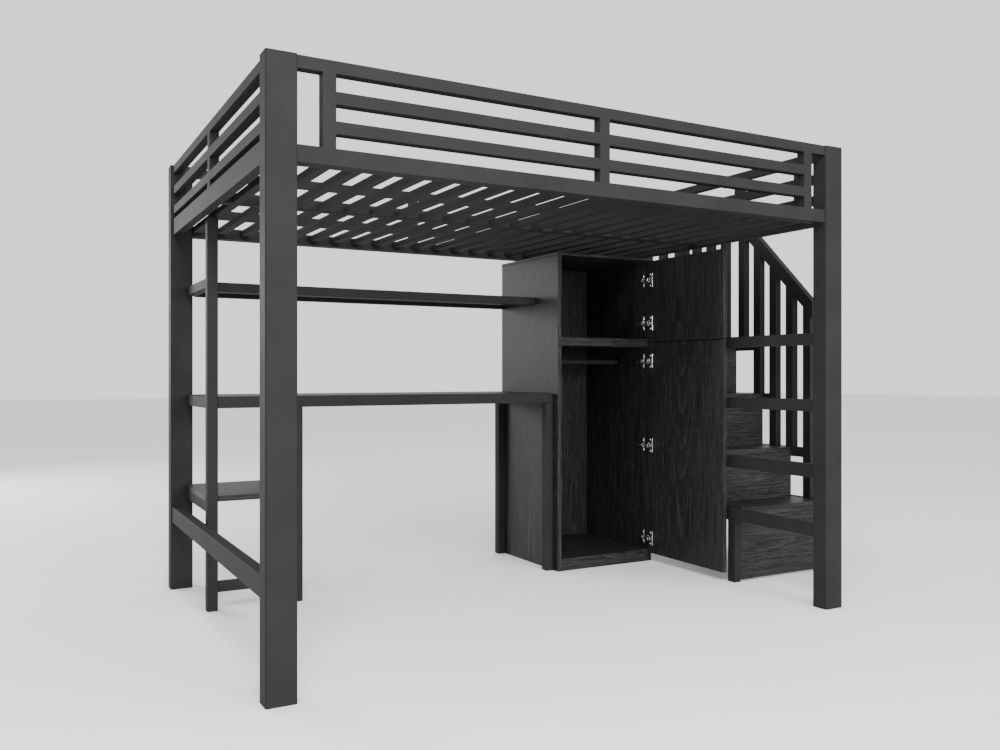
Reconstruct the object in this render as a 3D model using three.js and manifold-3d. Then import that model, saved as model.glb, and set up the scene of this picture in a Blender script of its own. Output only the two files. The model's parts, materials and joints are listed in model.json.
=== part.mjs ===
// Full-size metal loft bed with a desk, a shelf tower, a two-door wardrobe and a staircase at its end.
// Units are millimetres, +Z is up, +X runs along the bed towards the staircase, +Y runs towards the back.
// Pieces are laid out from the front left corner of the bed on the floor, then the whole group is
// shifted so that its origin is the centre of its footprint.
import * as THREE from "three";
import { mergeVertices } from "three/addons/utils/BufferGeometryUtils.js";
import Module from "manifold-3d";

// ---------------------------------------------------------------- driving dimensions
const BED_LENGTH = 2010;
const BED_WIDTH = 1456;
const BED_HEIGHT = 1601;
const GAP = 0.3; // clearance between pieces that touch
const WALL = 1.5; // wall of the welded steel tubes

const POST = { x: 80, y: 60, wall: 2, corner: 5 };

// Guard frames: a deck rail, a top rail and two middle rails, joined by uprights.
const SIDE_RAILS = { deck: [1336, 1379], middle: [[1416.5, 1448.5], [1491, 1523]], top: [1568, 1600] };
const END_RAILS = { deck: [1338, 1398], middle: [[1416, 1446], [1490.5, 1520.5]], top: [1570, 1600] };
const SIDE_THICK = { deck: 35, guard: 32 };
const END_THICK = 30;
const SLAT_LEDGE = { reach: 14, top: 1349.7 };
const UPRIGHT = 35;
const SIDE_INSET = 5; // outer face of a side frame, in from the outer face of the posts
const END_INSET = 9;
const UPRIGHT_OFFSET = 145; // first upright, from the outer face of the post
const LEFT_UPRIGHT = 718;
const RIGHT_UPRIGHTS = [150, 455, 870];
const ENTRY_FROM = 905; // the guard at the stairs ends here, and the way onto the bed begins

// Slatted deck
const SLAT = { count: 21, width: 30, pitch: 91.3, z: [1350, 1371], wall: 1.2, strip: 3 };
const MID_BEAM = { y: [709, 747], z: [1349, 1371] };

// Desk and shelves
const LEG = 35;
const DESK = { y: [994, 1438], z: [695, 735], right: 1447, board: 18, corner: 15 };
const TOWER = { x: [56, 92], y: [995, 1031], top: 1349.4 };
const LEFT_LEG_X = 353;
const LONG_SHELF = { y: [1140, 1435], z: [1109, 1142], board: 18 };
const LOWER_SHELF = { z: [375, 395], railZ: [339, 374.7] };
const LOW_CROSSBAR = [64, 98];
const LOW_END_RAIL = { x: [5, 39], z: [253, 312] };

// Wardrobe
const WARDROBE = { x: [1447, 1929], y: [958.5, 1435], height: 1315, board: 18, back: 6 };
const WARDROBE_TOP = { thick: 10, overhang: 3 };
const PLINTH_HEIGHT = 50;
const MIDDLE_SHELF = [931, 966];
const ROD = { y: 1190, z: 868, radius: 12.5, wall: 1.2, flange: 21, flangeThick: 4 };
const DOOR = { axis: [1915, 946.5], inner: 1909, thick: 18, free: 485, hinged: 956.5 };
const UPPER_DOOR = [952, 1304];
const LOWER_DOOR = [37, 949];
const UPPER_HINGES = [1035, 1222];
const LOWER_HINGES = [102, 505, 870];
const CUP = { radius: 15.5, depth: 12, y: 938, wall: 1.2, flange: [17, 8] };
const LEVER = { reach: 23, y: [-8, 0.5], half: 7 }; // stands up out of the cup
const CHEEK = [7.8, 9.3]; // on each side of the lever, from the middle of the hinge

// Staircase
const STAIR = { inner: [1946, 1976], outer: [2420, 2450] };
const TREAD_FRONTS = [456, 621, 786, 951, 1116];
const RISER_FRONTS = [461, 621, 786, 951, 1116];
const STEP_TOPS = [289.5, 500, 727, 960, 1190];
const INNER_RAILS = [[241, 286], [447, 494.5], [680, 723], [916, 958]];
const LANDING_INNER_RAIL = [1141, 1186];
const LANDING_BACK = 1363.7;
const TREAD = 18;
const RISER = 16;
const TREAD_LEDGE = { width: 20, thick: 3 };
const FRONT_POST_Y = [461, 499];
const CORNER_POST_Y = [1354, 1394];
const OUTER_RAIL = { below: 39, above: 1 }; // from the top of the tread
const BALUSTER = 40;
const BALUSTERS = [516, 612, 708, 804, 900, 1018, 1118, 1220, 1309];
const HANDRAIL = { front: 506, under: 543, over: 611, level: [1552, 1600] };
const REAR_GUARD = { y: [1365, 1395.7], rails: [[1151, 1190.7], [1560, 1600]] };
const REAR_BALUSTERS = [2032, 2128, 2224, 2320];

// ---------------------------------------------------------------- materials
const steel = new THREE.MeshStandardMaterial({ color: 0x2c2c2d, roughness: 0.42, metalness: 0.55 });
const oak = new THREE.MeshStandardMaterial({ color: 0x1f1f20, roughness: 0.6, metalness: 0 });
const chrome = new THREE.MeshStandardMaterial({ color: 0xd4d6d8, roughness: 0.18, metalness: 1 });

// ---------------------------------------------------------------- solids
const wasm = await Module();
wasm.setup();

function solidOf(geometry) {
  const bare = geometry.index ? geometry.toNonIndexed() : geometry.clone();
  bare.deleteAttribute("normal");
  bare.deleteAttribute("uv");
  const merged = mergeVertices(bare, 1e-3);
  return new wasm.Manifold(
    new wasm.Mesh({
      numProp: 3,
      vertProperties: new Float32Array(merged.attributes.position.array),
      triVerts: new Uint32Array(merged.index.array),
    }),
  );
}

function geometryOf(solid) {
  const mesh = solid.getMesh();
  const geometry = new THREE.BufferGeometry();
  geometry.setAttribute("position", new THREE.BufferAttribute(mesh.vertProperties, 3));
  geometry.setIndex(new THREE.BufferAttribute(mesh.triVerts, 1));
  geometry.computeVertexNormals();
  return geometry;
}

const join = (solids) => solids.reduce((all, one) => all.add(one));

function block(x, y, z) {
  const box = new THREE.BoxGeometry(x[1] - x[0], y[1] - y[0], z[1] - z[0]);
  box.translate((x[0] + x[1]) / 2, (y[0] + y[1]) / 2, (z[0] + z[1]) / 2);
  return solidOf(box);
}

// A cylinder along X, centred on (y, z).
function drumX(x, y, z, radius, sides = 40) {
  const drum = new THREE.CylinderGeometry(radius, radius, x[1] - x[0], sides);
  drum.rotateZ(Math.PI / 2);
  drum.translate((x[0] + x[1]) / 2, y, z);
  return solidOf(drum);
}

// An upright prism with rounded vertical edges.
function roundedColumn(x, y, z, corner) {
  const shape = new THREE.Shape();
  shape.moveTo(x[0] + corner, y[0]);
  shape.absarc(x[1] - corner, y[0] + corner, corner, -Math.PI / 2, 0, false);
  shape.absarc(x[1] - corner, y[1] - corner, corner, 0, Math.PI / 2, false);
  shape.absarc(x[0] + corner, y[1] - corner, corner, Math.PI / 2, Math.PI, false);
  shape.absarc(x[0] + corner, y[0] + corner, corner, Math.PI, Math.PI * 1.5, false);
  const options = { depth: z[1] - z[0], bevelEnabled: false, curveSegments: 3 };
  const column = new THREE.ExtrudeGeometry(shape, options);
  column.translate(0, 0, z[0]);
  return solidOf(column);
}

// A flat outline in Y and Z, given thickness along X.
function plateAcrossX(points, x) {
  const shape = new THREE.Shape(points.map(([y, z]) => new THREE.Vector2(y, z)));
  const plate = new THREE.ExtrudeGeometry(shape, { depth: x[1] - x[0], bevelEnabled: false });
  plate.applyMatrix4(new THREE.Matrix4().set(0, 0, 1, x[0], 1, 0, 0, 0, 0, 1, 0, 0, 0, 0, 0, 1));
  return solidOf(plate);
}

// A member of a welded frame: a rectangular tube that runs along one axis.
const member = (along, x, y, z) => ({ along, range: { x, y, z } });

function bore({ along, range }, wall) {
  const inner = {};
  for (const axis of ["x", "y", "z"]) {
    const [low, high] = range[axis];
    inner[axis] = axis === along ? [low - wall - 1, high + wall + 1] : [low + wall, high - wall];
  }
  return block(inner.x, inner.y, inner.z);
}

// Tubes and plates welded into one frame, with the hollows opened into each other.
function weld(members, wall = WALL, plates = []) {
  const skin = join([...members.map(({ range }) => block(range.x, range.y, range.z)), ...plates]);
  return skin.subtract(join(members.map((one) => bore(one, wall))));
}

// ---------------------------------------------------------------- the object
const object = new THREE.Group();

function add(name, solid, material) {
  const mesh = new THREE.Mesh(geometryOf(solid), material.clone());
  mesh.name = name;
  object.add(mesh);
}

const between = (low, high) => [low + GAP, high - GAP];
const grow = ([low, high], by = GAP) => [low - by, high + by];
const mirrored = ([low, high], span) => [span - high, span - low];

// Posts: rectangular tubes, closed by a welded plate at the top and open at the foot.
function post(x, y) {
  const low = POST.wall;
  const skin = roundedColumn(x, y, [0, BED_HEIGHT], POST.corner);
  const insideX = [x[0] + low, x[1] - low];
  const insideY = [y[0] + low, y[1] - low];
  return skin.subtract(roundedColumn(insideX, insideY, [-1, BED_HEIGHT - low], POST.corner - low));
}

const LEFT_POST = [0, POST.x];
const RIGHT_POST = mirrored(LEFT_POST, BED_LENGTH);
const FRONT_POST = [0, POST.y];
const REAR_POST = mirrored(FRONT_POST, BED_WIDTH);
add("post_front_left", post(LEFT_POST, FRONT_POST), steel);
add("post_front_right", post(RIGHT_POST, FRONT_POST), steel);
add("post_rear_left", post(LEFT_POST, REAR_POST), steel);
add("post_rear_right", post(RIGHT_POST, REAR_POST), steel);

const spanX = between(POST.x, BED_LENGTH - POST.x);
const spanY = between(POST.y, BED_WIDTH - POST.y);
const sideUprightZ = [SIDE_RAILS.deck[1] - 1, SIDE_RAILS.top[0] + 1];

// Front and rear side frames, with a ledge along the deck rail for the slat ends
function sideFrame(flip) {
  const place = (range) => (flip ? mirrored(range, BED_WIDTH) : range);
  const deckY = place([SIDE_INSET, SIDE_INSET + SIDE_THICK.deck]);
  const guardY = place([SIDE_INSET, SIDE_INSET + SIDE_THICK.guard]);
  const ledgeFrom = SIDE_INSET + SIDE_THICK.deck;
  const ledgeY = place([ledgeFrom - 1, ledgeFrom + SLAT_LEDGE.reach]);
  const uprights = [UPRIGHT_OFFSET, (BED_LENGTH - UPRIGHT) / 2, BED_LENGTH - UPRIGHT_OFFSET - UPRIGHT];
  const middleX = [uprights[0] + 5, uprights[2] + UPRIGHT - 5];
  return weld([
    member("x", spanX, deckY, SIDE_RAILS.deck),
    member("x", spanX, ledgeY, [SIDE_RAILS.deck[0], SLAT_LEDGE.top]),
    member("x", spanX, guardY, SIDE_RAILS.top),
    ...SIDE_RAILS.middle.map((z) => member("x", middleX, guardY, z)),
    ...uprights.map((x) => member("z", [x, x + UPRIGHT], guardY, sideUprightZ)),
  ]);
}

add("front_side_frame", sideFrame(false), steel);
add("rear_side_frame", sideFrame(true), steel);

// End frames: the left one is welded whole. On the right the deck rail carries a shorter guard, which
// leaves the way in from the stairs.
const leftEndX = [END_INSET, END_INSET + END_THICK];
const rightEndX = mirrored(leftEndX, BED_LENGTH);

const endDeckRail = (x) => member("y", x, spanY, END_RAILS.deck);

function endGuard(x, guardEnd, uprights, foot) {
  const topY = [spanY[0], guardEnd];
  const middleY = [spanY[0], guardEnd < spanY[1] ? guardEnd - 5 : guardEnd];
  const uprightRange = [foot, END_RAILS.top[0] + 1];
  return [
    member("y", x, topY, END_RAILS.top),
    ...END_RAILS.middle.map((z) => member("y", x, middleY, z)),
    ...uprights.map((y) => member("z", x, [y, y + UPRIGHT], uprightRange)),
  ];
}

const leftGuard = endGuard(leftEndX, spanY[1], [LEFT_UPRIGHT], END_RAILS.deck[1] - 1);
add("left_end_frame", weld([endDeckRail(leftEndX), ...leftGuard]), steel);
add("right_end_rail", weld([endDeckRail(rightEndX)]), steel);
const rightGuard = endGuard(rightEndX, ENTRY_FROM, RIGHT_UPRIGHTS, END_RAILS.deck[1] + GAP);
add("right_end_guard", weld(rightGuard), steel);

// Slatted deck: a beam along the middle and two rows of slats, each welded to a thin strip at both ends.
// The outermost slats are notched round the posts.
const beamX = between(leftEndX[1], rightEndX[0]);
add("deck_middle_beam", weld([member("x", beamX, MID_BEAM.y, MID_BEAM.z)]), steel);

function slatRow(y) {
  const half = ((SLAT.count - 1) / 2) * SLAT.pitch + SLAT.width / 2;
  const rowX = [BED_LENGTH / 2 - half, BED_LENGTH / 2 + half];
  const slats = [];
  for (let i = 0; i < SLAT.count; i++) {
    const left = rowX[0] + i * SLAT.pitch;
    slats.push(member("y", [left, left + SLAT.width], y, SLAT.z));
  }
  const strips = [
    block(rowX, [y[0], y[0] + SLAT.strip], SLAT.z),
    block(rowX, [y[1] - SLAT.strip, y[1]], SLAT.z),
  ];
  const corners = [LEFT_POST, RIGHT_POST].flatMap((x) =>
    [FRONT_POST, REAR_POST].map((postY) => block(grow(x), grow(postY), grow(SLAT.z, 1))),
  );
  return weld(slats, SLAT.wall, strips).subtract(join(corners));
}

const slatReach = SIDE_INSET + SIDE_THICK.deck + GAP;
add("deck_slats_front", slatRow([slatReach, MID_BEAM.y[0] - GAP]), steel);
add("deck_slats_rear", slatRow([MID_BEAM.y[1] + GAP, BED_WIDTH - slatReach]), steel);

add("left_lower_rail", weld([member("y", LOW_END_RAIL.x, spanY, LOW_END_RAIL.z)]), steel);

// Shelf tower: one post with three rails that run back to the rear bed post
const towerRailY = [TOWER.y[1] - 1, spanY[1]];
const towerRails = [LONG_SHELF.z, DESK.z, LOWER_SHELF.railZ];
add(
  "shelf_tower_frame",
  weld([
    member("z", TOWER.x, TOWER.y, [0, TOWER.top]),
    ...towerRails.map((z) => member("y", TOWER.x, towerRailY, z)),
  ]),
  steel,
);

// Desk: a leg frame on the left, two legs on the right, and the rails that hold the top
const legZ = [0, DESK.z[0] - GAP];
const leftLegX = [LEFT_LEG_X, LEFT_LEG_X + LEG];
const rightLegX = [DESK.right - LEG, DESK.right - GAP];
const frontLegY = [DESK.y[0], DESK.y[0] + LEG];
const rearLegY = [DESK.y[1] - LEG, DESK.y[1]];
const betweenLegs = [frontLegY[1] - 1, rearLegY[0] + 1];
add(
  "desk_left_leg_frame",
  weld([
    member("z", leftLegX, frontLegY, legZ),
    member("z", leftLegX, rearLegY, legZ),
    member("y", leftLegX, betweenLegs, LOWER_SHELF.railZ),
  ]),
  steel,
);
add("desk_right_leg_front", weld([member("z", rightLegX, frontLegY, legZ)]), steel);
add("desk_right_leg_rear", weld([member("z", rightLegX, rearLegY, legZ)]), steel);

// The outline of a desk rail, whose right end has a rounded upper corner.
function deskRail(y, left, inset) {
  const radius = DESK.corner - inset;
  const right = DESK.right - GAP - inset;
  const top = DESK.z[1] - inset;
  const shape = new THREE.Shape();
  shape.moveTo(left, DESK.z[0] + inset);
  shape.lineTo(right, DESK.z[0] + inset);
  shape.absarc(right - radius, top - radius, radius, 0, Math.PI / 2, false);
  shape.lineTo(left, top);
  const options = { depth: y[1] - y[0] - inset * 2, bevelEnabled: false, curveSegments: 6 };
  const bar = new THREE.ExtrudeGeometry(shape, options);
  bar.rotateX(Math.PI / 2);
  bar.translate(0, y[1] - inset, 0);
  return solidOf(bar);
}

function deskFrame() {
  const left = TOWER.x[1] + GAP;
  const cross = member("y", rightLegX, betweenLegs, [DESK.z[0], DESK.z[1] - DESK.board - GAP]);
  const skin = [frontLegY, rearLegY].map((y) => deskRail(y, left, 0));
  const hollow = [frontLegY, rearLegY].map((y) => deskRail(y, left - 1, WALL));
  const crossSkin = block(cross.range.x, cross.range.y, cross.range.z);
  return join([...skin, crossSkin]).subtract(join([...hollow, bore(cross, WALL)]));
}

add("desk_frame", deskFrame(), steel);
const deskTopX = [TOWER.x[1] + GAP, DESK.right - GAP];
const deskTopY = between(frontLegY[1], rearLegY[0]);
add("desk_top", block(deskTopX, deskTopY, [DESK.z[1] - DESK.board, DESK.z[1]]), oak);

// Long shelf between the tower and the wardrobe
const longX = between(TOWER.x[1], WARDROBE.x[0]);
const longFrontY = [LONG_SHELF.y[0], LONG_SHELF.y[0] + LEG];
const longRearY = [LONG_SHELF.y[1] - LEG, LONG_SHELF.y[1]];
add("long_shelf_front_rail", weld([member("x", longX, longFrontY, LONG_SHELF.z)]), steel);
add("long_shelf_rear_rail", weld([member("x", longX, longRearY, LONG_SHELF.z)]), steel);
const longBoardZ = [LONG_SHELF.z[1] - LONG_SHELF.board, LONG_SHELF.z[1]];
add("long_shelf", block(longX, between(longFrontY[1], longRearY[0]), longBoardZ), oak);

// Lower shelf: notched round the tower post and both legs of the left leg frame
function lowerShelf() {
  const z = grow(LOWER_SHELF.z, 1);
  const board = block([TOWER.x[0], leftLegX[1]], [DESK.y[0], spanY[1]], LOWER_SHELF.z);
  const tower = block([TOWER.x[0] - 1, TOWER.x[1] + GAP], [DESK.y[0] - 1, TOWER.y[1] + GAP], z);
  const leg = block([leftLegX[0] - GAP, leftLegX[1] + 1], [DESK.y[0] - 1, frontLegY[1] + GAP], z);
  return board.subtract(join([tower, leg]));
}

add("lower_shelf", lowerShelf(), oak);
const crossbarX = between(TOWER.x[1], leftLegX[0]);
add("low_crossbar", weld([member("x", crossbarX, frontLegY, LOW_CROSSBAR)]), steel);

// Wardrobe carcass
const inside = between(WARDROBE.x[0] + WARDROBE.board, WARDROBE.x[1] - WARDROBE.board);
const backY = [WARDROBE.y[1] - WARDROBE.back, WARDROBE.y[1]];
const sideZ = [0, WARDROBE.height - WARDROBE_TOP.thick - GAP];
const topX = [WARDROBE.x[0] - WARDROBE_TOP.overhang, WARDROBE.x[1]];
const insideY = [WARDROBE.y[0], backY[0] - GAP];
const leftSideX = [WARDROBE.x[0], WARDROBE.x[0] + WARDROBE.board];
const rightSideX = [WARDROBE.x[1] - WARDROBE.board, WARDROBE.x[1]];
const plinthY = [WARDROBE.y[0], WARDROBE.y[0] + WARDROBE.board];
const floorZ = [PLINTH_HEIGHT - WARDROBE.board, PLINTH_HEIGHT];
add("wardrobe_left_side", block(leftSideX, WARDROBE.y, sideZ), oak);
add("wardrobe_right_side", block(rightSideX, WARDROBE.y, sideZ), oak);
add("wardrobe_top", block(topX, WARDROBE.y, [sideZ[1] + GAP, WARDROBE.height]), oak);
add("wardrobe_plinth", block(inside, plinthY, [0, PLINTH_HEIGHT]), oak);
add("wardrobe_floor", block(inside, [plinthY[1] + GAP, insideY[1]], floorZ), oak);
add("wardrobe_middle_shelf", block(inside, insideY, MIDDLE_SHELF), oak);
add("wardrobe_back", block(inside, backY, [floorZ[0], sideZ[1]]), oak);

// Hanging rod: a round tube with a flange at each end
const rodTube = drumX(inside, ROD.y, ROD.z, ROD.radius, 24);
const flanges = [
  drumX([inside[0], inside[0] + ROD.flangeThick], ROD.y, ROD.z, ROD.flange, 32),
  drumX([inside[1] - ROD.flangeThick, inside[1]], ROD.y, ROD.z, ROD.flange, 32),
];
const rodBore = drumX([inside[0] - 1, inside[1] + 1], ROD.y, ROD.z, ROD.radius - ROD.wall, 24);
add("hanging_rod", join([rodTube, ...flanges]).subtract(rodBore), steel);

// Doors stand open at a right angle, with a blind hole for each hinge cup in the inner face.
const doorX = [DOOR.inner, DOOR.inner + DOOR.thick];
const doorY = [DOOR.free, DOOR.hinged];

function door(z, hinges) {
  const holeX = [doorX[0] - 1, doorX[0] + CUP.depth];
  const holes = hinges.map((height) => drumX(holeX, CUP.y, height, CUP.radius));
  return block(doorX, doorY, z).subtract(join(holes));
}

add("upper_door", door(UPPER_DOOR, UPPER_HINGES), oak);
add("lower_door", door(LOWER_DOOR, LOWER_HINGES), oak);

// A hinge cup sits in the door. The flange beside it takes two screws, and a lever stands up out of it.
function hingeCup(height) {
  const flangeX = [doorX[0] - 1.8, doorX[0] - GAP];
  const flangeY = [CUP.y - CUP.flange[0], CUP.y + CUP.flange[1]];
  const floorX = doorX[0] + CUP.depth - GAP - CUP.wall;
  const shell = drumX([flangeX[0], doorX[0] + CUP.depth - GAP], CUP.y, height, CUP.radius - GAP);
  const rim = drumX(flangeX, CUP.y, height, CUP.flange[0]);
  const flange = block(flangeX, flangeY, [height - 31, height + 31]);
  const hollow = drumX([flangeX[0] - 1, floorX], CUP.y, height, CUP.radius - GAP - CUP.wall);
  const leverY = LEVER.y.map((offset) => CUP.y + offset);
  const leverZ = [height - LEVER.half, height + LEVER.half];
  const lever = block([doorX[0] - LEVER.reach, floorX + 0.5], leverY, leverZ);
  return join([join([shell, rim, flange]).subtract(hollow), lever]);
}

// A hinge arm is fixed to the inner face of the right side. Two cheeks reach out from it past the front
// of the wardrobe, one on each side of the lever.
function hingeArm(height) {
  const faceX = rightSideX[0] - GAP;
  const frontY = WARDROBE.y[0];
  const plate = block([faceX - 4, faceX], [frontY + 22, frontY + 50], [height - 9, height + 9]);
  const wings = block([faceX - 4, faceX], [frontY + 23, frontY + 43], [height - 30, height + 30]);
  const armZ = [height - CHEEK[1], height + CHEEK[1]];
  const arm = block([faceX - 12, faceX - 3], [frontY + 24, frontY + 72], armZ);
  const cheeks = [-1, 1].map((side) => {
    const z = CHEEK.map((offset) => height + side * offset).sort((low, high) => low - high);
    return block([faceX - 11.2, faceX - 4.2], [frontY - 8.5, frontY + 25], z);
  });
  return join([plate, wings, arm, ...cheeks]);
}

[...LOWER_HINGES, ...UPPER_HINGES].forEach((height, i) => {
  add(`hinge_cup_${i + 1}`, hingeCup(height), chrome);
  add(`hinge_arm_${i + 1}`, hingeArm(height), chrome);
});

// Ledges that carry a tread, one against each side of the stairs
function treadLedge(i, x) {
  const top = STEP_TOPS[i] - TREAD - GAP;
  return block(x, [RISER_FRONTS[i] + RISER + GAP, treadBack(i)], [top - TREAD_LEDGE.thick, top]);
}

const treadBack = (i) => (i < STEP_TOPS.length - 1 ? RISER_FRONTS[i + 1] - GAP : LANDING_BACK);
const innerLedge = (i) => treadLedge(i, [STAIR.inner[1] - 1, STAIR.inner[1] + TREAD_LEDGE.width]);
const outerLedge = (i) => treadLedge(i, [STAIR.outer[0] - TREAD_LEDGE.width, STAIR.outer[0] + 1]);

// Inner side of the stairs: a rail under each tread between the right bed posts. The lowest rail stands
// on a front post, and the highest also carries the landing rail on an upright.
INNER_RAILS.forEach((z, i) => {
  const tubes = [member("y", STAIR.inner, spanY, z)];
  const extra = [innerLedge(i)];
  if (i === 0) {
    tubes.push(member("z", STAIR.inner, FRONT_POST_Y, [0, z[0] + 1]));
  }
  if (i === INNER_RAILS.length - 1) {
    const uprightY = [RISER_FRONTS[i], RISER_FRONTS[i] + STAIR.inner[1] - STAIR.inner[0]];
    tubes.push(member("z", STAIR.inner, uprightY, [z[1] - 1, LANDING_INNER_RAIL[0] + 1]));
    tubes.push(member("y", STAIR.inner, [uprightY[0], spanY[1]], LANDING_INNER_RAIL));
    extra.push(innerLedge(i + 1));
  }
  add(`stair_inner_rail_${i + 1}`, join([weld(tubes), ...extra]), steel);
});

// The handrail climbs at 45 degrees from its front end, then runs level to the corner post.
function handrail(inset) {
  const slant = Math.SQRT2 * inset;
  const front = HANDRAIL.front + inset;
  const bottom = HANDRAIL.level[0] + inset;
  const top = HANDRAIL.level[1] - inset;
  const under = HANDRAIL.under + slant;
  const over = HANDRAIL.over - slant;
  const back = CORNER_POST_Y[1] - inset;
  const lower = [[front, front + under], [bottom - under, bottom], [back, bottom]];
  const upper = [[back, top], [top - over, top], [front, front + over]];
  return plateAcrossX([...lower, ...upper], grow(STAIR.outer, -inset));
}

// Outer side of the stairs: posts, a rail at each step, balusters that stand on the rails, a handrail
const standsOn = [0, 1, 1, 2, 3, 3, 3, 4, 4];
const railTop = (i) => STEP_TOPS[i] + OUTER_RAIL.above;
const railStarts = [FRONT_POST_Y[0], ...[0, 2, 3, 6].map((i) => BALUSTERS[i])];

function outerFrame() {
  const rails = STEP_TOPS.map((top, i) => {
    const y = [railStarts[i] + 5, CORNER_POST_Y[1] - 5];
    return member("y", STAIR.outer, y, [top - OUTER_RAIL.below, railTop(i)]);
  });
  const balusters = BALUSTERS.map((y, i) => {
    const under = Math.min(HANDRAIL.under + y + BALUSTER, HANDRAIL.level[0]);
    const z = [STEP_TOPS[standsOn[i]] - 1, under + 4];
    return member("z", STAIR.outer, [y, y + BALUSTER], z);
  });
  const frontPost = member("z", STAIR.outer, FRONT_POST_Y, [0, railTop(0)]);
  const cornerPost = member("z", STAIR.outer, CORNER_POST_Y, [0, HANDRAIL.level[0] + 4]);
  const members = [...rails, ...balusters, frontPost, cornerPost];
  const skin = join(members.map(({ range }) => block(range.x, range.y, range.z)));
  const hollow = join(members.map((one) => bore(one, WALL)));
  const tubes = skin.add(handrail(0)).subtract(hollow.add(handrail(WALL)));
  const cap = block(STAIR.outer, FRONT_POST_Y, [railTop(0) - WALL, railTop(0)]);
  return join([tubes, cap, ...STEP_TOPS.map((top, i) => outerLedge(i))]);
}

add("stair_outer_frame", outerFrame(), steel);

// The guard across the back of the landing
const guardX = between(STAIR.inner[1], STAIR.outer[0]);
const [lowRail, highRail] = REAR_GUARD.rails;
add(
  "landing_guard",
  weld([
    ...REAR_GUARD.rails.map((z) => member("x", guardX, REAR_GUARD.y, z)),
    ...REAR_BALUSTERS.map((x) => {
      const z = [lowRail[1] - 1, highRail[0] + 1];
      return member("z", [x, x + BALUSTER], REAR_GUARD.y, z);
    }),
  ]),
  steel,
);

// Treads and risers
STEP_TOPS.forEach((top, i) => {
  add(`stair_tread_${i + 1}`, block(guardX, [TREAD_FRONTS[i], treadBack(i)], [top - TREAD, top]), oak);
  const from = i ? STEP_TOPS[i - 1] - TREAD : 8;
  const riserY = [RISER_FRONTS[i], RISER_FRONTS[i] + RISER];
  add(`stair_riser_${i + 1}`, block(guardX, riserY, [from, top - TREAD - GAP]), oak);
});

object.position.set(-STAIR.outer[1] / 2, -BED_WIDTH / 2, 0);

export default object;
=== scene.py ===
"""Looks of a full-size metal loft bed with desk, shelves, wardrobe and stairs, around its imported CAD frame.

Metres, +Z up, +X along the bed towards the stairs, +Y towards the back.
"""

import json
import math
import random

import bmesh
import bpy
from mathutils import Euler, Matrix, Vector


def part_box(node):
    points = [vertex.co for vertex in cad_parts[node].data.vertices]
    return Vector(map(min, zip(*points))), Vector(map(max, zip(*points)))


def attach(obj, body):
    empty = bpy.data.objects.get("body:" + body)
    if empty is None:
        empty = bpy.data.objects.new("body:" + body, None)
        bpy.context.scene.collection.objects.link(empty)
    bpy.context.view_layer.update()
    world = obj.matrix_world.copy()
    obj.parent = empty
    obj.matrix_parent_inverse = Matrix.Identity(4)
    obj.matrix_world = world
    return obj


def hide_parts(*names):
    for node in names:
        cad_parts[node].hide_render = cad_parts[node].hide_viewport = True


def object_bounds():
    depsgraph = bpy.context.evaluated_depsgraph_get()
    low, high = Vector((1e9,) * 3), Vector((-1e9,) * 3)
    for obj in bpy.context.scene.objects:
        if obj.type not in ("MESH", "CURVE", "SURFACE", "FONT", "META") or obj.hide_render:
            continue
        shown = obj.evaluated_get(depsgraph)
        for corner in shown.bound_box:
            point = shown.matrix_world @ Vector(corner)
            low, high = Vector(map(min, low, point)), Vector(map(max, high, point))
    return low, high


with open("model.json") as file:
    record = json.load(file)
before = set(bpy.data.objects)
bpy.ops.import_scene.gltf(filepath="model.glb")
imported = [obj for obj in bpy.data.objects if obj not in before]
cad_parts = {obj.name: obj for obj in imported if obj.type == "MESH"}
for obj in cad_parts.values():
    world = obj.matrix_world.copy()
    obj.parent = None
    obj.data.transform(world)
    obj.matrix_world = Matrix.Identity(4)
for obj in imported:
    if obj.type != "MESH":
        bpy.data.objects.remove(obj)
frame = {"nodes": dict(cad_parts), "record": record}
cad_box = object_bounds()

MM = 0.001
NODES = sorted(frame["nodes"])
BODY_OF = {n: body for body, names in frame["record"]["behaviour"]["bodies"].items() for n in names}
SLOT_OF = {s["node"]: s["material_slot"] for s in frame["record"]["subparts"]}
random.seed(7)

# ---------------------------------------------------------------- looks
PAINT = (0.0165, 0.0165, 0.0168)
PAINT_SPECULAR = 0.05
PEEL, CLOUD, RUB = 900, 7, 60  # powder coat: orange peel, clouding and rubbed places, per metre
OAK_DARK = (0.0031, 0.0031, 0.0031)
OAK_PALE = (0.043, 0.0427, 0.0421)
OAK_SPECULAR = 0.12
RINGS_PER_METRE = 115  # in the depth of the board
ARCH_NARROWING = 2.3  # how much closer the rings are across the board
HEART_DEPTH = 0.02  # metres from the board's origin to the heart of the tree
HEART_SWAY = 0.045  # how far the heart wanders in depth
RING_WAVE = 0.010  # how far the rings waver across the board
# Texture scales of the oak's patterns, along and across the grain, per metre
SWAY, WAVE, STREAK, FIBRE = (1.6, 1.0), (3.2, 16.0), (4.0, 230.0), (24.0, 800.0)
CHROME = (0.80, 0.81, 0.82)
FLOOR = (0.79, 0.79, 0.79)
FLOOR_SIZE = 30  # metres from the middle to an edge
DAYLIGHT = 1.35
SOFTBOXES = {  # place, target, size and power
    "side": ((-3.5, 4.7, 1.5), (-0.1, 0.3, 1.0), (2.2, 1.2), 185),
    "rim": ((-4.2, 5.2, 3.7), (-0.9, -0.2, 1.4), (1.6, 1.6), 20),
    "key": ((-1.9, -3.2, 3.4), (-0.9, 0, 1.4), (1.4, 1.4), 210),
    "front": ((1.0, -6.4, 1.9), (0.5, 0.6, 0.8), (3.0, 2.0), 490),
}
CAMERA_PLACE = (-1.7835, -2.9193, 0.8094)
CAMERA_TURN = (90, 0, -28.826)
LENS, SENSOR = 32.603, 36

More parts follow.
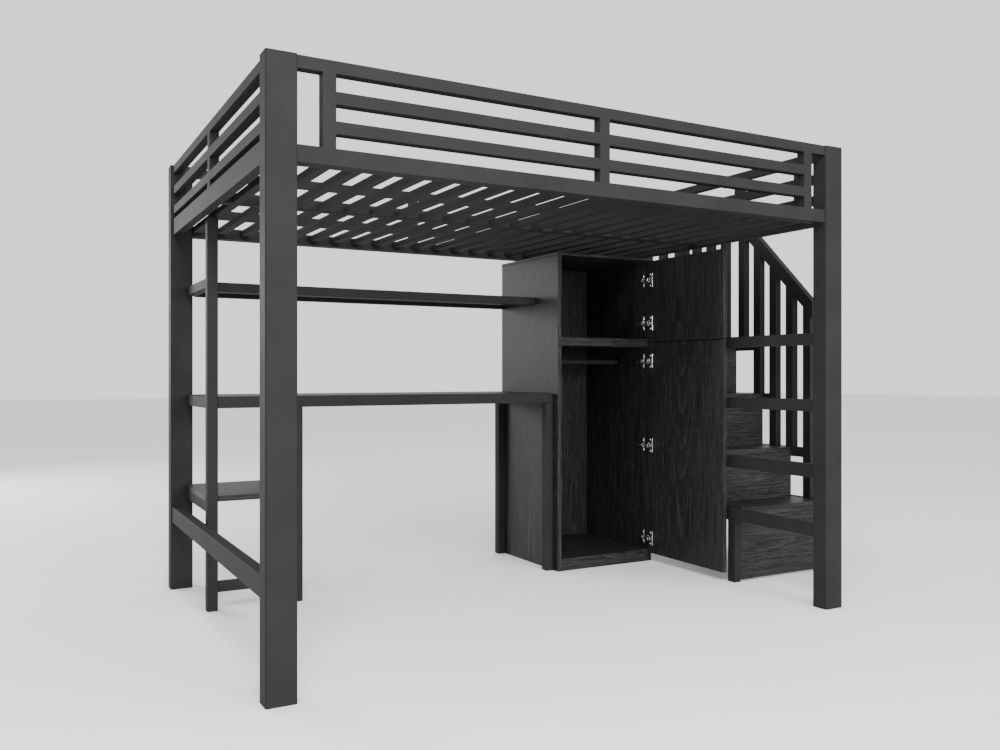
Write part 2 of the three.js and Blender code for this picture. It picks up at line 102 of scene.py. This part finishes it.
# ---------------------------------------------------------------- driving sizes
TUBE_ROUND = 2.4 * MM  # outer corner radius of the steel tubes
SLAT_ROUND = 1.0 * MM
POST_ROUND = 1.2 * MM  # along the top of a post, whose long corners are already round
BOARD_ROUND = 0.8 * MM
RIM = 2.3 * MM  # an open tube end's rim is thinner than this
RIM_SPREAD = 200 * MM  # and its width and height add up to less than this
SLATS = 21
SLAT_WIDTH = 30 * MM
STRIP = 3 * MM  # thickness of the strip that joins the slats' ends
STRIP_INSET = 3.4 * MM  # clears the posts
STRIP_DROP = 1 * MM  # how far it stays below the slats' faces
POST_NOTCH = 20 * MM

# Hinges, in millimetres. A cup is measured from the middle of its mouth, with X into the door.
CUP_HEIGHT = 13.5
CUP_RIM = [(1.5, 15.2), (1.5, 16.7), (0.9, 17.0), (0.3, 16.7), (0, 16.1), (0, 15.0), (0.5, 14.3), (1.4, 14.0)]
CUP_BOWL = [(1.4, 14.0), (10.1, 13.8), (11.6, 13.0), (12.3, 11.5), (12.3, 0)]
CUP_OUTSIDE = [(1.4, 15.1), (11.5, 15.1), (13.5, 13.4), (13.5, 0)]
FLANGE_Y = (-17, 8)
FLANGE_INNER_Z = 13.4
LEVER_Y = (-8, 0.5)
LEVER_HALF = 7
# An arm is measured from its own low X, the front of the wardrobe and the middle of the hinge.
CHEEK_REACH = 8.5  # in front of the wardrobe
CHEEK_OUTLINE = [(0.8, -3), (3, -8.5), (6.4, -8.5), (7.8, -5), (7.8, 25), (0.8, 25)]
CHEEK_Z = (7.8, 9.3)
ARM_OUTLINE = [(0.6, 24), (8.8, 24), (8.8, 72), (3.4, 72), (0.4, 64), (0, 34)]
ARM_HALF = 9.1
PLATE_THICK = 2.5
PLATE_Y, PLATE_HALF = (22, 50), 9
WING_Y, WING_Z = (23, 43), (8, 30)
SCREW_SIDES, CUP_SIDES = 20, 48

# Angles between the faces at an edge, in radians
SAME_PLANE = math.radians(0.6)  # below this the faces are merged
FLAT = 0.01
INNER_CORNER = 0.5
SHARP = 0.75  # above this an edge is shaded sharp
ROUNDED = 0.9  # above this an outer edge is rounded


# ---------------------------------------------------------------- materials
class Tree:
    """A material's node tree, built by short calls."""

    def __init__(self, name):
        self.material = bpy.data.materials.new(name)
        self.material.use_nodes = True
        self.tree = self.material.node_tree
        self.shader = self.tree.nodes["Principled BSDF"]

    def node(self, kind, **settings):
        made = self.tree.nodes.new("ShaderNode" + kind)
        for key, value in settings.items():
            setattr(made, key, value)
        return made

    def set(self, node, **values):
        for key, value in values.items():
            socket = node.inputs[key.replace("_", " ")]
            if isinstance(value, bpy.types.NodeSocket):
                self.tree.links.new(value, socket)
            else:
                socket.default_value = value
        return node

    def coordinates(self, scale, offset=(0, 0, 0)):
        place = self.node("TexCoord")
        mapping = self.node("Mapping")
        return self.set(mapping, Vector=place.outputs["Object"], Scale=scale, Location=offset).outputs[0]

    def noise(self, vector, scale, detail=2.0, roughness=0.5):
        made = self.node("TexNoise")
        self.set(made, Vector=vector, Scale=scale, Detail=detail, Roughness=roughness)
        return made.outputs["Fac"]

    def fit(self, value, low, high, to_low=0.0, to_high=1.0):
        made = self.node("MapRange")
        names = ("Value", "From Min", "From Max", "To Min", "To Max")
        for name, v in zip(names, (value, low, high, to_low, to_high)):
            self.set(made, **{name: v})
        return made.outputs[0]

    def math(self, operation, a, b=0.5):
        made = self.node("Math", operation=operation)
        for socket, v in zip(made.inputs, (a, b)):
            if isinstance(v, bpy.types.NodeSocket):
                self.tree.links.new(v, socket)
            else:
                socket.default_value = v
        return made.outputs[0]

    def mix(self, factor, a, b):
        made = self.node("Mix", data_type="RGBA")
        self.tree.links.new(factor, made.inputs[0])
        made.inputs[6].default_value = (*a, 1)
        made.inputs[7].default_value = (*b, 1)
        return made.outputs[2]

    def finish(self, color, roughness, height, distance, strength=1.0):
        bump = self.node("Bump")
        self.set(bump, Height=height, Distance=distance, Strength=strength)
        links = self.tree.links
        links.new(color, self.shader.inputs["Base Color"])
        links.new(roughness, self.shader.inputs["Roughness"])
        links.new(bump.outputs[0], self.shader.inputs["Normal"])
        return self.material


def tinted(color, factor):
    return tuple(c * factor for c in color)


def powder_coat():
    """Satin black powder coat: a fine orange peel, faint clouding and a little rubbed sheen."""
    t = Tree("black_powder_coat")
    space = t.coordinates((1, 1, 1))
    peel = t.noise(space, PEEL, 2)
    cloud = t.noise(space, CLOUD, 3)
    rub = t.noise(space, RUB, 4, 0.6)
    color = t.mix(t.fit(cloud, 0.3, 0.7), tinted(PAINT, 0.88), tinted(PAINT, 1.12))
    shine = t.math("ADD", t.fit(cloud, 0.3, 0.7, 0.60, 0.66), t.fit(rub, 0.4, 0.7, 0.0, 0.05))
    t.shader.inputs["Specular IOR Level"].default_value = PAINT_SPECULAR
    return t.finish(color, shine, peel, 0.00004, 0.7)


def along(grain, slow, fast):
    """Texture scales for a pattern that is drawn out along the grain."""
    scales = [fast] * 3
    scales[grain] = slow
    return tuple(scales)


def oak(name, grain, across, centre):
    """Black laminate with an embossed oak grain: growth rings cut lengthwise, and pores along the grain.

    Every board has its own pattern. The heart of the tree lies behind the middle of the board, so the rings
    show as nested arches there and as straight lines towards the edges.
    """
    t = Tree("black_oak_" + name)
    offset = tuple(random.uniform(-4, 4) for _ in range(3))
    lean = random.choice((-1, 1)) * random.uniform(0.03, 0.05)
    shift = random.uniform(-0.03, 0.03)
    place = t.node("SeparateXYZ")
    t.set(place, Vector=t.coordinates((1, 1, 1)))
    side = place.outputs[across]
    length = place.outputs[grain]
    depth = place.outputs[3 - across - grain]
    drawn = {scales: t.coordinates(along(grain, *scales), offset) for scales in (SWAY, WAVE, STREAK, FIBRE)}
    sway = t.math("SUBTRACT", t.noise(drawn[SWAY], 1.0, 1.0), 0.5)
    wave = t.math("SUBTRACT", t.noise(drawn[WAVE], 1.0, 2.0), 0.5)
    sideways = t.math("ADD", t.math("SUBTRACT", side, centre + shift), t.math("MULTIPLY", wave, RING_WAVE))
    sideways = t.math("MULTIPLY", sideways, ARCH_NARROWING)
    behind = t.math("ADD", t.math("MULTIPLY", length, lean), t.math("MULTIPLY", sway, HEART_SWAY))
    behind = t.math("ADD", behind, t.math("ADD", depth, HEART_DEPTH))
    squares = t.math("ADD", t.math("MULTIPLY", sideways, sideways), t.math("MULTIPLY", behind, behind))
    rings = t.math("FRACT", t.math("MULTIPLY", t.math("SQRT", squares), RINGS_PER_METRE))
    ring_line = t.math("POWER", rings, 2.2)
    streaks = t.fit(t.noise(drawn[STREAK], 1.0, 2.0, 0.6), 0.40, 0.66)
    dashes = t.fit(t.noise(drawn[FIBRE], 1.0, 2.0, 0.55), 0.44, 0.66)
    fine = t.math("ADD", t.math("MULTIPLY", streaks, 0.45), t.math("MULTIPLY", dashes, 0.55))
    relief = t.math("MULTIPLY", fine, t.fit(ring_line, 0.0, 1.0, 0.50, 1.0))
    t.shader.inputs["Specular IOR Level"].default_value = OAK_SPECULAR
    color = t.mix(t.fit(relief, 0.02, 0.75), OAK_DARK, OAK_PALE)
    shine = t.fit(relief, 0.0, 1.0, 0.44, 0.60)
    return t.finish(color, shine, relief, 0.0004, 0.8)


def plated(name, color, low, high):
    """Bright plating, with faint drawing marks and a trace of dulling."""
    t = Tree(name)
    space = t.coordinates((1, 1, 1))
    marks = t.noise(t.coordinates((1800, 1800, 160)), 1.0, 1)
    dull = t.noise(space, 140, 3)
    tone = t.mix(t.fit(dull, 0.35, 0.7), color, tinted(color, 0.86))
    t.shader.inputs["Metallic"].default_value = 1.0
    return t.finish(tone, t.fit(dull, 0.3, 0.7, low, high), marks, 0.00001, 0.5)


def floor_material():
    t = Tree("pale_floor")
    space = t.coordinates((1, 1, 1))
    color = t.mix(t.fit(t.noise(space, 2.0, 3), 0.3, 0.7), FLOOR, tinted(FLOOR, 0.985))
    shine = t.fit(t.noise(space, 5, 2), 0.3, 0.7, 0.7, 0.8)
    return t.finish(color, shine, t.noise(space, 90, 2), 0.0001, 0.3)


COAT = powder_coat()
BRIGHT = plated("bright_plating", CHROME, 0.10, 0.22)
SCREW = plated("screw_plating", tinted(CHROME, 0.92), 0.18, 0.3)
# Near-black plating for the inside of a hinge cup: painted shade in the cup's hollow
SHADED_BOWL = plated("painted_shade_bowl", tinted(CHROME, 0.22), 0.3, 0.45)
# Near-black plating for the screws' cross recesses: painted shade in the recesses
RECESS_SHADE = plated("painted_recess_shade", tinted(CHROME, 0.12), 0.4, 0.5)


# ---------------------------------------------------------------- mesh work
def mesh_of(node):
    """A copy of a CAD node's mesh, with its corners welded."""
    bm = bmesh.new()
    bm.from_mesh(frame["nodes"][node].data)
    bmesh.ops.remove_doubles(bm, verts=bm.verts, dist=0.01 * MM)
    return bm


def is_flat(edge):
    return edge.is_manifold and edge.calc_face_angle() < FLAT


def inner_corners(bm):
    return [e for e in bm.edges if e.is_manifold and not e.is_convex and e.calc_face_angle() > INNER_CORNER]


def square_up(bm):
    """Cuts the flat faces along the lines of every inner corner, and merges the rest into simple faces."""
    inner = inner_corners(bm)
    for axis in range(3):
        normal = [0, 0, 0]
        normal[axis] = 1
        for value in sorted({round(v.co[axis], 5) for e in inner for v in e.verts}):
            point = [0, 0, 0]
            point[axis] = value
            everything = bm.verts[:] + bm.edges[:] + bm.faces[:]
            bmesh.ops.bisect_plane(bm, geom=everything, dist=0.02 * MM, plane_co=point, plane_no=normal)
        inner = inner_corners(bm)
    slanted = []
    for edge in bm.edges:
        run = edge.verts[0].co - edge.verts[1].co
        if is_flat(edge) and sum(abs(c) > 0.02 * MM for c in run) > 1:
            slanted.append(edge)
    bmesh.ops.dissolve_edges(bm, edges=slanted, use_verts=False, use_face_split=False)


def islands(bm):
    left = set(bm.faces)
    groups = []
    while left:
        stack = [left.pop()]
        group = []
        while stack:
            face = stack.pop()
            group.append(face)
            for edge in face.edges:
                for other in edge.link_faces:
                    if other in left:
                        left.remove(other)
                        stack.append(other)
        groups.append(group)
    return groups


def spread(faces):
    corners = [v.co for f in faces for v in f.verts]
    return sum(max(c[i] for c in corners) - min(c[i] for c in corners) for i in range(3))


def plug_tubes(bm):
    """Keeps the outer skin of a tube frame and closes its ends with plugs."""
    bmesh.ops.dissolve_limit(bm, angle_limit=SAME_PLANE, verts=bm.verts, edges=bm.edges)
    rims = [f for f in bm.faces if 2 * f.calc_area() / f.calc_perimeter() < RIM and spread([f]) < RIM_SPREAD]
    bmesh.ops.delete(bm, geom=rims, context="FACES")
    groups = sorted(islands(bm), key=spread)
    inner = [f for group in groups[:-1] for f in group]
    bmesh.ops.delete(bm, geom=inner, context="FACES")
    ends = [e for e in bm.edges if e.is_boundary]
    bmesh.ops.holes_fill(bm, edges=ends, sides=0)
    bmesh.ops.triangulate(bm, faces=bm.faces[:])


def bevel(bm, edges, radius, segments):
    bmesh.ops.bevel(
        bm, geom=edges, offset=radius, offset_type="OFFSET", segments=segments,
        profile=0.5, affect="EDGES", clamp_overlap=True,
    )


def soften(bm, radius, segments=3, shortest=8 * MM):
    """Rounds the long convex edges."""
    edges = [e for e in bm.edges if e.is_manifold and e.is_convex]
    edges = [e for e in edges if e.calc_face_angle() > ROUNDED and e.calc_length() > shortest]
    bevel(bm, edges, radius, segments)


def finish_mesh(bm, name, material, body, nodes=()):
    for edge in bm.edges:
        edge.smooth = not (edge.is_manifold and edge.calc_face_angle() > SHARP)
    for face in bm.faces:
        face.smooth = True
    mesh = bpy.data.meshes.new(name)
    bm.to_mesh(mesh)
    bm.free()
    mesh.materials.append(material)
    piece = bpy.data.objects.new(name, mesh)
    bpy.context.scene.collection.objects.link(piece)
    normals = piece.modifiers.new("even_normals", "WEIGHTED_NORMAL")
    normals.keep_sharp = True
    normals.weight = 90
    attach(piece, body)
    if nodes:
        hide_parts(*nodes)


def rounded_box(bm, low, high, radius, segments=2):
    part = bmesh.new()
    bmesh.ops.create_cube(part, size=1)
    size = Vector(high) - Vector(low)
    centre = (Vector(high) + Vector(low)) / 2
    stretched = Matrix.Translation(centre) @ Matrix.Diagonal((*size, 1))
    bmesh.ops.transform(part, matrix=stretched, verts=part.verts)
    bevel(part, part.edges[:], radius, segments)
    add_mesh(bm, part)


def add_mesh(bm, part):
    spare = bpy.data.meshes.new("spare")
    part.to_mesh(spare)
    part.free()
    bm.from_mesh(spare)
    bpy.data.meshes.remove(spare)


def placed(origin, x, y, z):
    """The point at x, y and z millimetres from origin."""
    return origin + Vector((x, y, z)) * MM


def box_at(bm, origin, x, y, z, radius, segments=2):
    """A rounded box, its ranges in millimetres from origin. A range may be given either way round."""
    low, high = zip(sorted(x), sorted(y), sorted(z))
    rounded_box(bm, placed(origin, *low), placed(origin, *high), radius * MM, segments)


def lathe_x(bm, profile, centre, sides):
    """Turns a profile of (x, radius) points, in millimetres, about the X axis through centre."""
    rings = []
    for x, radius in profile:
        if radius == 0:
            rings.append([bm.verts.new(placed(centre, x, 0, 0))] * sides)
            continue
        ring = []
        for i in range(sides):
            turn = 2 * math.pi * i / sides
            ring.append(bm.verts.new(placed(centre, x, radius * math.cos(turn), radius * math.sin(turn))))
        rings.append(ring)
    for a, b in zip(rings, rings[1:]):
        for i in range(sides):
            j = (i + 1) % sides
            corners = []
            for v in (a[i], a[j], b[j], b[i]):
                if v not in corners:
                    corners.append(v)
            if len(corners) > 2:
                bm.faces.new(corners)
    bmesh.ops.recalc_face_normals(bm, faces=bm.faces)


# ---------------------------------------------------------------- steel frames
def steel_piece(node):
    bm = mesh_of(node)
    plug_tubes(bm)
    square_up(bm)
    soften(bm, POST_ROUND if node.startswith("post_") else TUBE_ROUND)
    finish_mesh(bm, node + "_steel", COAT, BODY_OF[node], [node])


def slat_piece(node):
    """A row of slats. The outermost ones stop short of the posts."""
    low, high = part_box(node)
    front_row = low.y < 0 and high.y < 0.1
    pitch = (high.x - low.x - SLAT_WIDTH) / (SLATS - 1)
    bm = bmesh.new()
    for i in range(SLATS):
        x = low.x + i * pitch
        near_post = i in (0, SLATS - 1)
        start = low.y + (POST_NOTCH if near_post and front_row else 0)
        end = high.y - (POST_NOTCH if near_post and not front_row else 0)
        rounded_box(bm, (x, start, low.z), (x + SLAT_WIDTH, end, high.z), SLAT_ROUND)
    insets = (STRIP_INSET, 0) if front_row else (0, STRIP_INSET)
    for y, inset in zip((low.y, high.y - STRIP), insets):
        corner = (low.x + inset, y, low.z + STRIP_DROP)
        rounded_box(bm, corner, (high.x - inset, y + STRIP, high.z - STRIP_DROP), 0.5 * MM)
    finish_mesh(bm, node + "_steel", COAT, BODY_OF[node], [node])


# ---------------------------------------------------------------- boards
def grain_of(node):
    """Grain axis, axis across it and the board's middle on that axis, by which way such a board is cut."""
    low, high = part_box(node)
    size = high - low
    flat = min(range(3), key=lambda i: size[i])
    upright = node.startswith(("wardrobe_left", "wardrobe_right", "wardrobe_back")) or node.endswith("_door")
    grain = 2 if upright else 0
    across = next(i for i in range(3) if i not in (grain, flat))
    return grain, across, (low[across] + high[across]) / 2


def board_piece(node):
    bm = mesh_of(node)
    bmesh.ops.dissolve_limit(bm, angle_limit=SAME_PLANE, verts=bm.verts, edges=bm.edges)
    soften(bm, BOARD_ROUND, 2)
    material = oak(node, *grain_of(node))
    finish_mesh(bm, node + "_board", material, BODY_OF[node], [node])


# ---------------------------------------------------------------- concealed hinges
def screw(bm, recess, centre, radius, rise):
    """A pan head that faces -X, and the cross recess in it. The radius and the rise are in millimetres."""
    shoulder = [(0, radius), (-0.45 * rise, radius), (-0.85 * rise, 0.8 * radius)]
    profile = [*shoulder, (-rise, 0.45 * radius), (-rise, 0)]
    lathe_x(bm, profile, centre, SCREW_SIDES)
    # The cross recess goes into its own mesh, which gets the near-black plating that paints its shade.
    arm, half = 0.62 * radius, 0.13 * radius
    for y, z in ((arm, half), (half, arm)):
        box_at(recess, centre, (-rise - 0.06, -rise + 0.3), (-y, y), (-z, z), 0.05, 1)


def finish_hinge(node, parts):
    """Makes a piece of every part. The first one stands for the CAD node."""
    for i, (suffix, bm, material) in enumerate(parts):
        finish_mesh(bm, f"{node}_{suffix}", material, BODY_OF[node], () if i else [node])


def hinge_cup(node):
    """A pressed cup on a flange with a rolled edge and two screws, and the lever that stands up out of it."""
    low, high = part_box(node)
    centre = (low + high) / 2
    mouth = Vector((high.x - CUP_HEIGHT * MM, centre.y, centre.z))
    tip = (low.x - mouth.x) / MM
    tall = (high.z - low.z) / 2 / MM
    pressing, inside, screws, recess = (bmesh.new() for _ in range(4))
    lathe_x(pressing, CUP_RIM, mouth, CUP_SIDES)
    lathe_x(inside, CUP_BOWL, mouth, CUP_SIDES)
    lathe_x(inside, CUP_OUTSIDE, mouth, CUP_SIDES)
    for side in (-1, 1):
        box_at(pressing, mouth, (0.2, 1.5), FLANGE_Y, (side * FLANGE_INNER_Z, side * tall), 0.6, 3)
        screw(screws, recess, placed(mouth, 0.3, 0, side * 24), 4.6, 2.6)
    box_at(pressing, mouth, (-2.2, 1.5), (FLANGE_Y[0], FLANGE_Y[0] + 3.4), (-tall, tall), 1.3, 3)
    box_at(pressing, mouth, (tip, -3.5), LEVER_Y, (-LEVER_HALF, LEVER_HALF), 1.2, 3)
    leg = LEVER_HALF - 1
    box_at(inside, mouth, (-5, CUP_HEIGHT - 0.8), (LEVER_Y[0] + 3, LEVER_Y[1] - 1), (-leg, leg), 0.8)
    # The bowl, with the lever's leg in it, takes the near-black plating that paints the shade inside the cup.
    finish_hinge(node, [
        ("pressing", pressing, BRIGHT), ("bowl", inside, SHADED_BOWL),
        ("screws", screws, BRIGHT), ("recesses", recess, RECESS_SHADE),
    ])


def prism_z(bm, origin, outline, z, radius):
    """A flat outline in X and Y with height along Z and rounded rims, in millimetres from origin."""
    part = bmesh.new()
    part.faces.new([part.verts.new(placed(origin, x, y, z[0])) for x, y in outline])
    made = bmesh.ops.extrude_face_region(part, geom=part.faces[:])
    top = [g for g in made["geom"] if isinstance(g, bmesh.types.BMVert)]
    bmesh.ops.translate(part, vec=(0, 0, (z[1] - z[0]) * MM), verts=top)
    bmesh.ops.recalc_face_normals(part, faces=part.faces)
    bevel(part, part.edges[:], radius * MM, 2)
    add_mesh(bm, part)


def hinge_arm(node):
    """An arm over a winged mounting plate, with two cheeks in front and four screws."""
    low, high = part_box(node)
    origin = Vector((low.x, low.y + CHEEK_REACH * MM, (low.z + high.z) / 2))
    width = (high.x - low.x) / MM
    back = width - PLATE_THICK
    pressing, screws, recess = (bmesh.new() for _ in range(3))
    box_at(pressing, origin, (back, width), PLATE_Y, (-PLATE_HALF, PLATE_HALF), 0.7)
    for side in (-1, 1):
        wing_z = [side * z for z in WING_Z]
        lip_z = (wing_z[1] - side * 2.4, wing_z[1])
        box_at(pressing, origin, (back, width), WING_Y, wing_z, 0.9, 3)
        box_at(pressing, origin, (back - 1.5, back + 1), (WING_Y[0] + 1, WING_Y[1] - 1), lip_z, 0.8)
        screw(screws, recess, placed(origin, back + 0.2, WING_Y[0] + 6.5, side * 19), 4.6, 2.4)
        prism_z(pressing, origin, CHEEK_OUTLINE, sorted(side * z for z in CHEEK_Z), 0.4)
    prism_z(pressing, origin, ARM_OUTLINE, (-ARM_HALF, ARM_HALF), 0.8)
    screw(screws, recess, placed(origin, 0.3, 33, 0), 4.0, 0.9)
    screw(screws, recess, placed(origin, 1.0, 58, 0), 4.4, 0.9)
    finish_hinge(node, [
        ("pressing", pressing, BRIGHT), ("screws", screws, SCREW), ("recesses", recess, RECESS_SHADE),
    ])


for node in NODES:
    if node.startswith("hinge_cup"):
        hinge_cup(node)
    elif node.startswith("hinge_arm"):
        hinge_arm(node)
    elif node.startswith("deck_slats"):
        slat_piece(node)
    elif SLOT_OF[node] == "black_oak":
        board_piece(node)
    else:
        steel_piece(node)


# ---------------------------------------------------------------- studio
def softbox(name, place, target, size, power):
    light = bpy.data.lights.new(name, "AREA")
    light.shape = "RECTANGLE"
    light.size, light.size_y = size
    light.energy = power
    lamp = bpy.data.objects.new(name, light)
    lamp.location = place
    aim = Vector(target) - Vector(place)
    lamp.rotation_euler = aim.to_track_quat("-Z", "Y").to_euler()
    bpy.context.scene.collection.objects.link(lamp)


def studio():
    bm = bmesh.new()
    bmesh.ops.create_grid(bm, x_segments=8, y_segments=8, size=FLOOR_SIZE)
    mesh = bpy.data.meshes.new("floor")
    bm.to_mesh(mesh)
    bm.free()
    mesh.materials.append(floor_material())
    floor = bpy.data.objects.new("floor", mesh)
    floor.location.z = cad_box[0][2] - 0.5 * MM
    bpy.context.scene.collection.objects.link(floor)

    world = bpy.data.worlds.new("studio")
    world.use_nodes = True
    background = world.node_tree.nodes["Background"]
    background.inputs["Color"].default_value = (1, 1, 1, 1)
    background.inputs["Strength"].default_value = DAYLIGHT
    bpy.context.scene.world = world

    for name, settings in SOFTBOXES.items():
        softbox(name, *settings)


def camera():
    data = bpy.data.cameras.new("camera")
    data.lens = LENS
    data.sensor_width = SENSOR
    view = bpy.data.objects.new("camera", data)
    view.location = CAMERA_PLACE
    view.rotation_euler = Euler([math.radians(turn) for turn in CAMERA_TURN])
    bpy.context.scene.collection.objects.link(view)
    bpy.context.scene.camera = view


studio()
camera()
